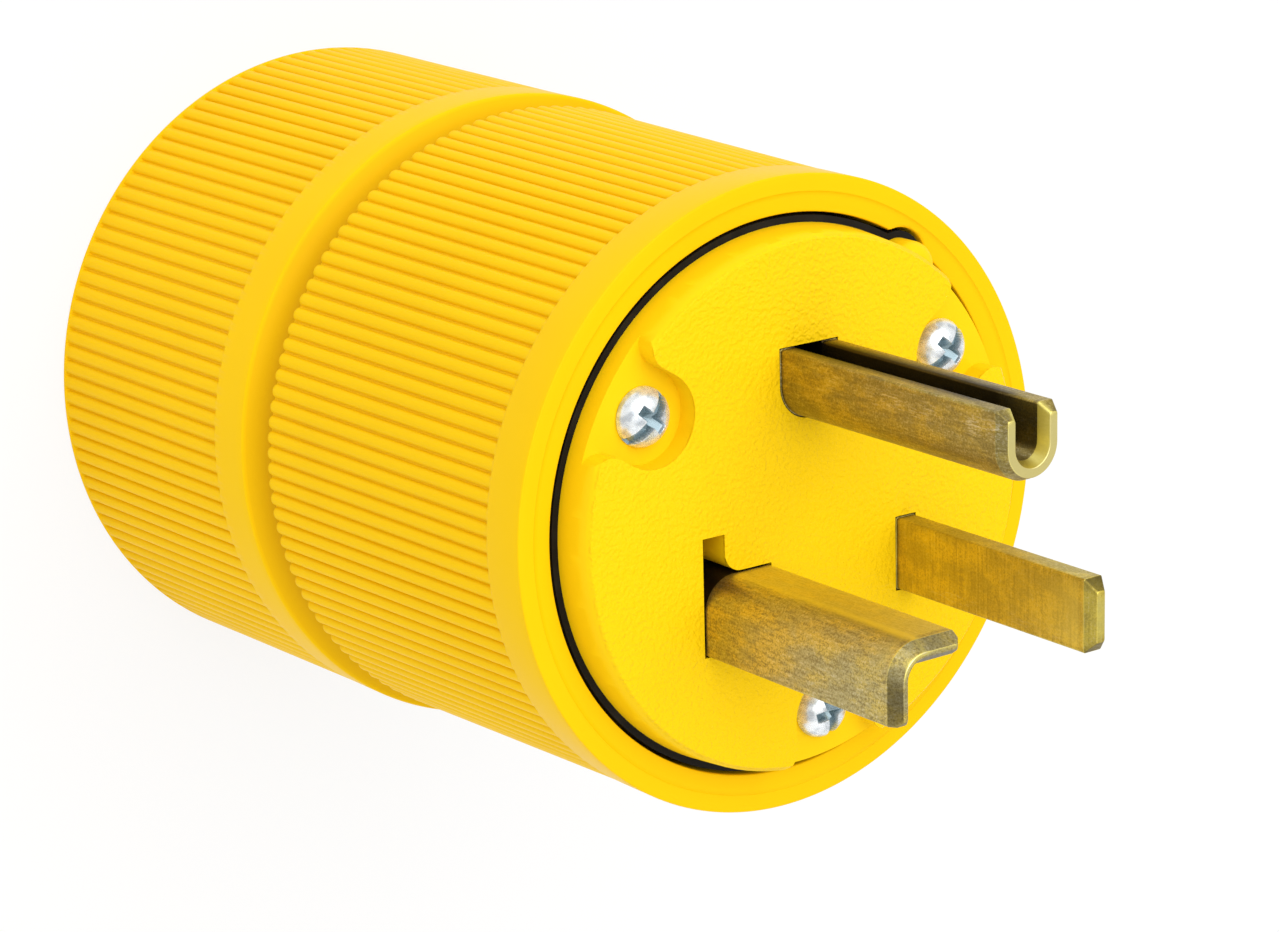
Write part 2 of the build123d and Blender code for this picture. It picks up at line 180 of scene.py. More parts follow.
def seat(obj: bpy.types.Object, finish: bpy.types.Material, slot: str, *nodes: str) -> bpy.types.Object:
    """Dress a new piece and seat it on the plug.

    Args:
        obj: the piece, in place in the plug's frame.
        finish: its material.
        slot: the name of the material slot that the finish is for; not used.
        nodes: the CAD nodes that it stands for.

    Returns:
        The same piece.
    """
    obj.data.materials.clear()
    obj.data.materials.append(finish)
    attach(obj, BODY)
    if nodes:
        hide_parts(*nodes)
    LOG.info("%s: %d faces, stands for %s", obj.name, len(obj.data.polygons), ", ".join(nodes) or "itself")
    return obj


def new_object(name: str, data: bpy.types.ID) -> bpy.types.Object:
    """Put a mesh, a lamp or a camera into the scene as an object at the origin."""
    obj = bpy.data.objects.new(name, data)
    bpy.context.scene.collection.objects.link(obj)
    return obj


class Signal:
    """A node's output socket that can be used in Python arithmetic."""

    def __init__(self, graph: "Graph", socket: bpy.types.NodeSocket) -> None:
        """Keep the socket and the graph that it belongs to."""
        self.graph = graph
        self.socket = socket

    def __add__(self, other: "Signal | float") -> "Signal":
        """Add."""
        return self.graph.math("ADD", self, other)

    def __radd__(self, other: float) -> "Signal":
        """Add to a number."""
        return self.graph.math("ADD", other, self)

    def __sub__(self, other: "Signal | float") -> "Signal":
        """Subtract."""
        return self.graph.math("SUBTRACT", self, other)

    def __rsub__(self, other: float) -> "Signal":
        """Subtract from a number."""
        return self.graph.math("SUBTRACT", other, self)

    def __mul__(self, other: "Signal | float") -> "Signal":
        """Multiply."""
        return self.graph.math("MULTIPLY", self, other)

    def __rmul__(self, other: float) -> "Signal":
        """Multiply a number."""
        return self.graph.math("MULTIPLY", other, self)

    def __truediv__(self, other: "Signal | float") -> "Signal":
        """Divide."""
        return self.graph.math("DIVIDE", self, other)

    def rise(self, low: float, high: float) -> "Signal":
        """Map low..high to 0..1 smoothly, held at both ends."""
        return self.graph.out(
            "ShaderNodeMapRange",
            {"interpolation_type": "SMOOTHSTEP"},
            {"Value": self, "From Min": low, "From Max": high},
            "Result",
        )


Input = Signal | float | tuple


class Graph:
    """The node tree of one material, with its Principled shader."""

    def __init__(self, name: str) -> None:
        """Make an empty material with a Principled shader and an output."""
        self.material = bpy.data.materials.new(name)
        self.material.use_nodes = True
        self.tree = self.material.node_tree
        self.tree.nodes.clear()
        self.shader = self.tree.nodes.new("ShaderNodeBsdfPrincipled")
        self.output = self.tree.nodes.new("ShaderNodeOutputMaterial")
        self.tree.links.new(self.shader.outputs["BSDF"], self.output.inputs["Surface"])

    def node(self, kind: str, settings: dict[str, Any], inputs: dict[Any, Input]) -> bpy.types.Node:
        """Add any node.

        Args:
            kind: the node's type name.
            settings: its settings, set first.
            inputs: values or signals by socket name or number.

        Returns:
            The node.
        """
        made = self.tree.nodes.new(kind)
        for key, value in settings.items():
            setattr(made, key, value)
        for key, value in inputs.items():
            self.feed(made.inputs[key], value)
        return made

    def feed(self, socket: bpy.types.NodeSocket, value: Input) -> None:
        """Link a signal to a socket, or set the socket's own value."""
        if isinstance(value, Signal):
            self.tree.links.new(value.socket, socket)
        elif isinstance(value, tuple) and socket.type == "RGBA":
            socket.default_value = (*value, 1.0)
        else:
            socket.default_value = value

    def out(self, kind: str, settings: dict[str, Any], inputs: dict[Any, Input], output: Any = 0) -> Signal:
        """Add any node and return one of its outputs as a signal."""
        return Signal(self, self.node(kind, settings, inputs).outputs[output])

    def math(self, operation: str, *values: "Signal | float") -> Signal:
        """Add a Math node."""
        return self.out("ShaderNodeMath", {"operation": operation}, dict(enumerate(values)))

    def coords(self, scale: Place = (1.0, 1.0, 1.0)) -> Signal:
        """Object coordinates in millimetres, each axis scaled."""
        place = self.out("ShaderNodeTexCoord", {}, {}, "Object")
        size = tuple(axis / MM for axis in scale)
        return self.out("ShaderNodeMapping", {}, {"Vector": place, "Scale": size})

    def axis(self, where: Signal, name: str) -> Signal:
        """One of the three coordinates of a place, by its letter."""
        return self.out("ShaderNodeSeparateXYZ", {}, {0: where}, name)

    def noise(self, where: Signal, scale: float, detail: float = 3.0, rough: float = 0.55) -> Signal:
        """Cloudy noise from 0 to 1 about 0.5."""
        inputs = {"Vector": where, "Scale": scale, "Detail": detail, "Roughness": rough}
        return self.out("ShaderNodeTexNoise", {}, inputs, "Fac")

    def uneven(self, noise: Signal, mean: float, swing: float) -> Signal:
        """Spread a value about its mean by a noise from 0 to 1."""
        return noise * swing + (mean - swing / 2)

    def blend(self, share: Input, low: Input, high: Input) -> Signal:
        """Mix two colours."""
        return self.out("ShaderNodeMix", {"data_type": "RGBA"}, {0: share, 6: low, 7: high}, 2)

    def attribute(self, name: str) -> Signal:
        """Read a point attribute of the piece."""
        return self.out("ShaderNodeAttribute", {"attribute_name": name}, {}, "Fac")

    def bump(self, height: Signal, strength: float, distance_mm: float) -> Signal:
        """Turn a height into a normal."""
        inputs = {"Height": height, "Strength": strength, "Distance": distance_mm * MM}
        return self.out("ShaderNodeBump", {}, inputs, "Normal")

    def surface(self, **inputs: Input) -> bpy.types.Material:
        """Feed the Principled shader and hand over the material.

        Args:
            inputs: values or signals by socket name, with _ for a space.

        Returns:
            The material.
        """
        for key, value in inputs.items():
            self.feed(self.shader.inputs[key.replace("_", " ")], value)
        return self.material


class Grain(Enum):
    """How a moulded surface is textured."""

    SATIN = "satin"
    STIPPLE = "stipple"


@dataclass(frozen=True)
class MouldedYellow:
    """Yellow moulded plastic, satin on the grips and stippled on the face; noise scales are per mm."""

    name: str
    grain: Grain
    colour: Colour = (0.89, 0.55, 0.003)
    # deep is the colour of the painted shade in rib valleys and the cove, and the far end of the slow colour
    # drift
    deep: Colour = (0.66, 0.345, 0.002)
    roughness: float = 0.36
    gloss: float = 0.035
    ior: float = 1.5
    grain_above: float = 0.0
    grain_fade: float = 0.2
    drift_scale: float = 0.09
    drift_share: float = 0.08
    fine_scale: float = 3.2
    fine_share: float = 0.3
    fine_swing: float = 0.14
    pebble_scale: float = 2.4
    satin_bump: Pair = (0.12, 0.03)
    stipple_bump: Pair = (0.75, 0.09)

    def make(self) -> bpy.types.Material:
        """Build the material: slow colour drift, painted shade from the point values in the rib valleys and
        the cove, grain as bump.
        """
        g = Graph(self.name)
        where = g.coords()
        drift = g.noise(where, self.drift_scale, 2.0)
        # painted shade: the shell's point values darken the colour towards deep
        painted_shade = g.attribute("wear_and_painted_light")
        colour = g.blend(painted_shade + drift.rise(0.4, 0.8) * self.drift_share, self.colour, self.deep)
        fine = g.noise(where, self.fine_scale, 2.0)
        if self.grain is Grain.STIPPLE:
            pebble = g.noise(where, self.pebble_scale, 1.5, 0.5)
            height = pebble.rise(0.3, 0.72) + fine * self.fine_share
            shown = g.axis(where, "Z").rise(self.grain_above - self.grain_fade, self.grain_above)
            normal = g.bump(height * shown, *self.stipple_bump)
        else:
            normal = g.bump(fine, *self.satin_bump)
        return g.surface(
            Base_Color=colour,
            Roughness=g.uneven(fine, self.roughness, self.fine_swing),
            Normal=normal,
            IOR=self.ior,
            Specular_IOR_Level=self.gloss,
        )


@dataclass(frozen=True)
class AgedBrass:
    """Brass with a matte film, fine lines in one direction, painted shade in the slots, and pale edges partly
    from rubbing and partly painted highlights.
    """

    name: str
    stretch: Place
    gold: Colour
    olive: Colour
    brown: Colour
    shine: Colour = (0.84, 0.72, 0.19)
    pale: Colour = (0.76, 0.68, 0.48)
    soil_and_shade: Colour = (0.04, 0.027, 0.01)
    # near-black colour of the painted shade in the slots and inside the U, also used for darker edges and
    # bevels
    roughness: float = 0.42
    lines: float = 0.4
    film: float = 0.45
    pale_film: float = 0.6
    rub_and_highlight_cover: float = 0.85
    rub_and_highlight_gloss: float = 0.08
    fleck_swing: float = 0.4
    fleck_bump: Pair = (0.25, 0.03)
    cloud_scale: float = 0.55
    cloud_stretch: Place = (1.0, 1.0, 0.5)
    line_scale: float = 4.5
    grain_scale: float = 5.5
    scratch: float = 0.0
    scratch_y: float = 0.0
    scratch_reach: float = 1.0
    scratch_scale: float = 5.0
    scratch_stretch: Place = (1.0, 1.0, 0.16)
    patch_scale: float = 0.4

    def make(self) -> bpy.types.Material:
        """Build the material: film in clouds, lines and grain in colour and gloss, then grime and painted
        shade, then rubbing and painted highlights.
        """
        g = Graph(self.name)
        where = g.coords()
        cloud = g.noise(g.coords(self.cloud_stretch), self.cloud_scale, 5.0, 0.65)
        line = g.noise(g.coords(self.stretch), self.line_scale, 2.0, 0.5)
        grain = g.noise(where, self.grain_scale, 3.0, 0.75)
        wear_and_light = g.attribute("wear_and_painted_light")
        fleck = line * self.lines + grain * (1.0 - self.lines)
        base = g.blend(cloud.rise(0.38, 0.6), self.gold, self.olive)
        base = g.blend(fleck.rise(0.46, 0.62) * self.film, base, self.brown)
        base = g.blend((1.0 - fleck).rise(0.52, 0.66) * self.film * self.pale_film, base, self.pale)
        if self.scratch > 0:
            off = g.math("ABSOLUTE", g.axis(where, "Y") - self.scratch_y)
            near = 1.0 - off / self.scratch_reach
            streak = g.noise(g.coords(self.scratch_stretch), self.scratch_scale, 3.0, 0.7)
            patch = g.noise(g.coords(self.cloud_stretch), self.patch_scale, 2.0)
            marks = streak.rise(0.5, 0.62) * near.rise(0.0, 0.8) * patch.rise(0.42, 0.6)
            base = g.blend(marks * self.scratch, base, self.pale)
        # painted shade and plain darkening: values below 0 darken towards near black
        base = g.blend((wear_and_light * -1.0).rise(0.05, 0.8), base, self.soil_and_shade)
        # rubbing and painted highlights: values above 0 lighten towards shine, then pale
        base = g.blend(wear_and_light.rise(0.0, 0.4) * self.rub_and_highlight_cover, base, self.shine)
        base = g.blend(wear_and_light.rise(0.4, 0.95) * self.rub_and_highlight_cover, base, self.pale)
        return g.surface(
            Base_Color=base,
            Metallic=1.0,
            Roughness=self.roughness - wear_and_light * self.rub_and_highlight_gloss + (fleck - 0.5) * self.fleck_swing,
            Normal=g.bump(fleck, *self.fleck_bump),
        )


@dataclass(frozen=True)
class PlatedMetal:
    """Plated or bare metal for screws and clamp plates, with a faint uneven film."""

    name: str
    colour: Colour
    film: Colour
    roughness: float
    metal: float = 1.0
    # colour of the painted shade in the screws' drive recesses
    recess: Colour = (0.27, 0.36, 0.4)
    cloud_scale: float = 1.1
    cloud_cover: float = 0.7
    grain_scale: float = 8.0
    grain_swing: float = 0.16
    grain_bump: Pair = (0.12, 0.03)

    def make(self) -> bpy.types.Material:
        """Build the material: cloudy film over the metal, painted shade in the drive's recesses, fine
        unevenness in gloss.
        """
        g = Graph(self.name)
        where = g.coords()
        cloud = g.noise(where, self.cloud_scale, 3.0)
        grain = g.noise(where, self.grain_scale, 2.0)
        plate = g.blend(cloud.rise(0.42, 0.66) * self.cloud_cover, self.colour, self.film)
        return g.surface(
            Base_Color=g.blend(g.attribute("wear_and_painted_light"), plate, self.recess),
            Metallic=self.metal,
            Roughness=g.uneven(grain, self.roughness, self.grain_swing),
            Normal=g.bump(grain + cloud, *self.grain_bump),
        )


@dataclass(frozen=True)
class DarkMoulding:
    """Black plastic or rubber of the hidden inner pieces."""

    name: str
    colour: Colour = (0.006, 0.005, 0.004)
    dust: Colour = (0.014, 0.012, 0.009)
    roughness: float = 0.55
    gloss: float = 0.15
    dust_scale: float = 0.35
    grain_scale: float = 4.0
    grain_swing: float = 0.2
    grain_bump: Pair = (0.2, 0.04)

    def make(self) -> bpy.types.Material:
        """Build the material: a little pale dust in clouds and a fine moulded grain."""
        g = Graph(self.name)
        where = g.coords()
        cloud = g.noise(where, self.dust_scale, 3.0)
        grain = g.noise(where, self.grain_scale, 2.0)
        return g.surface(
            Base_Color=g.blend(cloud.rise(0.42, 0.75), self.colour, self.dust),
            Roughness=g.uneven(grain, self.roughness, self.grain_swing),
            Normal=g.bump(grain, *self.grain_bump),
            Specular_IOR_Level=self.gloss,
        )


@dataclass
class Housing:
    """The ribbed yellow shell: a closed profile carried round the axis, with ribs as a wave on it."""

    # Ribs, how they run out against the smooth bands, and how they start at the cove
    ribs: int = 126
    rib_height: float = 0.46
    rib_share: float = 0.44
    rib_least: float = 0.02
    valley_end: float = 0.45
    # painted shade in the rib valleys, as a share of the deep colour
    valley_shade: float = 0.04
    lead_length: float = 0.75
    lead_rise: float = 1.6
    lead_narrow: float = 0.35
    lead_rows: tuple[float, ...] = (0.0, 0.03, 0.1, 0.22, 0.4, 0.65, 1.0)
    # Rear end with the cord entry
    rear_tip: float = 29.64
    rear_edge: float = 0.15
    rear_rim: float = 0.28
    rear_flat: float = 28.0
    rear_wall: float = 5.0
    entry: float = 12.1
    entry_edge: float = 0.35
    flange_seat: float = 14.6
    flange_floor: float = 3.0
    # Waist band, and the cove between it and the front grip
    waist_start: float = 27.25
    waist_end: float = 31.95
    waist_radius: float = 29.2
    waist_hold: float = 1.15
    edge: float = 0.25
    cove_radius: float = 2.369
    cove_floor: float = 27.2
    cove_end: float = 34.25
    cove_top: float = 0.94
    # painted shade at the cove's edge by the band, rising to full by the rib starts
    cove_shade: float = 0.25
    # Front grip and rim
    grip_start: float = 34.55
    grip_end: float = 67.75
    grip_tip: float = 28.5
    grip_part: Pair = (0.04, 0.965)
    rim_tip: float = 27.65
    rim_radius: float = 27.7
    rim_edge: float = 0.14
    rim_hold: float = 0.8
    length: float = 72.3
    # Mouth, bore and wiring chamber, with the notch for the face's key
    lip_radius: float = 26.1
    lip_step: float = 0.1
    lip_round: float = 0.09
    lip_drop: float = 0.01
    mouth_inset: tuple[float, ...] = (0.4, 1.0, 1.35)
    mouth_fall: tuple[float, ...] = (0.03, 0.06, 0.08)
    mouth_notch: tuple[float, ...] = (0.06, 0.4, 0.75)
    throat: float = 72.1
    bore: float = 24.4
    chamber_floor: float = 24.0
    pocket_radius: float = 21.0
    key_angle: float = 55.0
    key_centre: float = 22.2
    notch_radius: float = 3.2
    notch_floor: float = 56.9
    notch_edge: float = 0.02
    # Bosses for the face screws, and the access holes to the cord clamp
    boss_radius: float = 3.75
    boss_hole: float = 1.85
    boss_top: float = 56.9
    boss_sink: float = 0.3
    access_radius: float = 4.1
    access_y: float = 12.5
    access_z: float = 11.0
    access_span: Pair = (16.0, 33.0)
    # How finely it is drawn
    edge_points: int = 5
    rear_points: int = 3
    cove_points: int = 8
    grip_points: int = 4
    rib_points: int = 9
    boss_points: int = 48
    access_points: int = 64
    shell_crease: float = 42.0
    boss_crease: float = 40.0

    def profile(self) -> np.ndarray:
        """Work out the closed profile, from the cord entry over the outside and back through the bore.

        Returns:
            Rows of radius, height, rib height there, share of rib width there, how far the row follows the
            key's notch, and how much painted shade it gets.
        """
        quarter = np.radians(np.linspace(0.0, 90.0, self.edge_points))
        sine, cosine = np.sin(quarter), np.cos(quarter)
        deep = self.rib_height
        crisp = self.rim_edge
        rows: list[np.ndarray] = []

        def run(
            radius: Any, height: Any, rib: Any = 0.0, share: Any = 1.0, notch: Any = 0.0, painted_shade: Any = 0.0
        ) -> None:
            """Add a run of rows."""
            columns = map(np.atleast_1d, (radius, height, rib, share, notch, painted_shade))
            rows.append(np.stack(np.broadcast_arrays(*columns), 1))

        run([self.entry + self.entry_edge, self.rear_flat], 0.0)
        run(self.rear_tip - self.rear_edge * (1 - sine), self.rear_edge * (1 - cosine))
        run(self.rear_tip - deep * sine, self.rear_rim + self.valley_end * (1 - cosine), deep * sine)
        roots = np.linspace(self.rear_tip - deep, self.waist_radius - deep, self.rear_points + 2)
        levels = np.linspace(0.0, self.waist_start, self.rear_points + 2)
        run(roots[1:-1], levels[1:-1], deep)
        valley_top = self.waist_start - self.valley_end * (1 - sine)
        run(self.waist_radius - deep * cosine, valley_top, deep * cosine)
        run(self.waist_radius, [self.waist_start + self.waist_hold, self.waist_end - self.waist_hold])
        run(self.waist_radius - self.edge * (1 - cosine), self.waist_end - self.edge * (1 - sine))
        whole = np.arcsin((self.cove_end - self.waist_end) / self.cove_radius)
        sweep = whole * np.linspace(self.cove_top, 0.0, self.cove_points)
        # painted shade: the cove darkens towards the rib starts, where the front grip shades it
        run(
            self.cove_floor + self.cove_radius * (1 - np.cos(sweep)),
            self.cove_end - self.cove_radius * np.sin(sweep),
            painted_shade=np.linspace(self.cove_shade, 1.0, self.cove_points),
        )
        # painted shade: full at the rib starts by the cove, fading out along the ribs' rounded ends
        lead = np.array(self.lead_rows)
        grip_root = self.grip_tip - deep
        run(
            self.cove_floor + (grip_root - self.cove_floor) * quarter_round(self.lead_rise * lead),
            self.grip_start + self.lead_length * lead,
            deep * quarter_round(lead),
            np.maximum(quarter_round(lead), self.lead_narrow),
            painted_shade=np.linspace(1.0, 0.0, len(lead)),
        )
        slope = np.linspace(*self.grip_part, self.grip_points)
        run(
            grip_root + (self.rim_tip - self.grip_tip) * slope,
            self.grip_start + (self.grip_end - self.grip_start) * slope,
            deep,
        )
        run(self.rim_tip - deep * cosine, self.grip_end - self.valley_end * (1 - sine), deep * cosine)
        run(self.rim_radius, [self.grip_end + self.edge, self.length - self.rim_hold])
        run(self.rim_radius - crisp * (1 - cosine), self.length - crisp * (1 - sine))
        ledge = self.length - self.lip_step
        run(
            self.lip_radius + np.array([self.rim_hold, self.lip_round, 0.0]),
            [self.length, self.length - self.lip_drop, ledge],
        )
        inset, fall = np.array(self.mouth_inset), np.array(self.mouth_fall)
        run(self.lip_radius - inset, ledge - fall, notch=self.mouth_notch)
        run(self.bore + crisp * (1 - sine), self.throat - crisp * (1 - cosine), notch=1.0)
        run(self.bore, self.notch_floor + self.notch_edge, notch=1.0)
        run(self.bore, [self.notch_floor - self.notch_edge, self.chamber_floor])
        run(self.pocket_radius, [self.chamber_floor, self.rear_wall])
        run(self.flange_seat, [self.rear_wall, self.flange_floor])
        run(self.entry, [self.flange_floor, self.entry_edge])
        return np.concatenate(rows)

    def notch_depth(self, angle: np.ndarray) -> np.ndarray:
        """How far the key's round notch goes into the bore's wall.

        Args:
            angle: angles about the axis in radians.

        Returns:
            c cos(d) + sqrt(R^2 - c^2 sin(d)^2) - bore where above 0, with d the angle from the notch.
        """
        away = (angle - np.radians(self.key_angle) + np.pi) % (2 * np.pi) - np.pi
        inside = np.clip(self.notch_radius**2 - (self.key_centre * np.sin(away)) ** 2, 0.0, None)
        reach = self.key_centre * np.cos(away) + np.sqrt(inside)
        met = (np.cos(away) > 0) & (inside > 0)
        return np.where(met, np.clip(reach - self.bore, 0.0, None), 0.0)

    def shell(self) -> Draft:
        """Carry the profile round the axis.

        The radius at angle a is profile radius + rib height * rib(a), where rib(a) is a half ellipse over
        part of each pitch, plus the key's notch where the row follows it.

        Returns:
            The shell as a draft, its point values painted shade, high in the valleys between the ribs and in
            the cove.
        """
        rows = self.profile()
        radius, height, rib, share, notch, painted_shade = (rows[:, k, None] for k in range(6))
        sweep = np.radians(np.linspace(-90.0, 90.0, self.rib_points))
        between = -0.5
        phase = np.tile(np.append(between, self.rib_share * np.sin(sweep)), self.ribs)
        crown = np.tile(np.append(0.0, np.cos(sweep)), self.ribs)
        number = np.repeat(np.arange(self.ribs), self.rib_points + 1)
        narrowed = np.where(phase <= between, phase, phase * share)
        angle = 2 * np.pi * (number + narrowed) / self.ribs
        out = radius + rib * crown + self.notch_depth(angle) * notch
        level = np.broadcast_to(height, out.shape)
        grid = np.stack([out * np.cos(angle), out * np.sin(angle), level], axis=-1)
        # painted shade: darker towards the bottom of each valley between the ribs
        valley = np.where(rib > self.rib_least, (1.0 - crown) ** 2 * rib / self.rib_height, 0.0)
        draft = Draft()
        index = draft.add_points(grid, np.maximum(valley * self.valley_shade, painted_shade))
        draft.skin(index, ring_u=True, ring_v=True)
        return draft

    def access_cutter(self) -> Draft:
        """Two rods across the shell's side, where a screwdriver reaches the cord clamp."""
        draft = Draft()
        turn = circle(self.access_points)
        for y in (-self.access_y, self.access_y):
            across = y + self.access_radius * np.cos(turn)
            up = self.access_z + self.access_radius * np.sin(turn)
            rings = [np.column_stack([np.full(len(turn), x), across, up]) for x in self.access_span]
            index = draft.add_points(np.stack(rings))
            draft.skin(index, ring_v=True)
            ends = draft.add_points(np.array([[x, y, self.access_z] for x in self.access_span]))
            draft.fan(index[0][::-1], ends[0])
            draft.fan(index[1], ends[1])
        return draft

    def bosses(self) -> Draft:
        """Three pillars for the face screws inside the chamber, each webbed to the wall and bored."""
        draft = Draft()
        turn = circle(self.boss_points)
        far = self.bore + self.boss_sink - SCREW_CIRCLE
        wide = np.clip(np.abs(np.sin(turn)), TINY, None)
        stretch = np.minimum(self.boss_radius / wide, far / np.clip(np.cos(turn), TINY, None))
        outline = np.where(np.cos(turn) > 0, stretch, self.boss_radius)
        hole = np.full(len(turn), self.boss_hole)
        low, high = self.chamber_floor, self.boss_top
        for degrees in SCREW_ANGLES:
            a = math.radians(degrees)
            rings = []
            for ring, z in ((outline, low), (outline, high), (hole, high), (hole, low)):
                along = SCREW_CIRCLE + ring * np.cos(turn)
                across = ring * np.sin(turn)
                x = along * math.cos(a) - across * math.sin(a)
                y = along * math.sin(a) + across * math.cos(a)
                rings.append(np.column_stack([x, y, np.full(len(turn), z)]))
            draft.skin(draft.add_points(np.stack(rings)), ring_u=True, ring_v=True)
        return draft

    def build(self, finish: bpy.types.Material) -> None:
        """Make the shell, bore its access holes, and add the bosses inside."""
        cutter = new_object("access_cutter", self.access_cutter().mesh("access_cutter"))
        shell = new_object("housing_shell", self.shell().mesh("housing_shell"))
        bore = shell.modifiers.new("access_holes", "BOOLEAN")
        bore.object = cutter
        bore.operation = "DIFFERENCE"
        bore.solver = "EXACT"
        cut = bpy.data.meshes.new_from_object(shell.evaluated_get(bpy.context.evaluated_depsgraph_get()))
        shell.modifiers.clear()
        shell.data = cut
        bpy.data.objects.remove(cutter)
        smooth_by_angle(shell.data, self.shell_crease)
        seat(shell, finish, "shell", "housing")
        bosses = new_object("housing_bosses", self.bosses().mesh("housing_bosses"))
        smooth_by_angle(bosses.data, self.boss_crease)
        seat(bosses, finish, "shell")


@dataclass
class FaceInsert:
    """The raised yellow face: the CAD shape with its edges softened as a moulding's are."""

    node: str = "face_insert"
    edge: float = 0.16
    edge_steps: int = 3
    merge: float = 0.002
    flat_degrees: float = 0.6
    crease: float = 40.0

    def build(self, finish: bpy.types.Material) -> None:
        """Copy the node's mesh, merge its loose triangles and round its edges."""
        bm = bmesh.new()
        bm.from_mesh(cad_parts[self.node].data)
        bmesh.ops.remove_doubles(bm, verts=bm.verts, dist=self.merge * MM)
        flat = math.radians(self.flat_degrees)
        bmesh.ops.dissolve_limit(bm, angle_limit=flat, verts=bm.verts, edges=bm.edges)
        mesh = bpy.data.meshes.new("face_moulding")
        bm.to_mesh(mesh)
        bm.free()
        piece = new_object("face_moulding", mesh)
        soften = piece.modifiers.new("soft_edges", "BEVEL")
        soften.limit_method = "ANGLE"
        soften.angle_limit = math.radians(self.crease)
        soften.width = self.edge * MM
        soften.segments = self.edge_steps
        smooth_by_angle(mesh, self.crease)
        seat(piece, finish, "face", self.node)


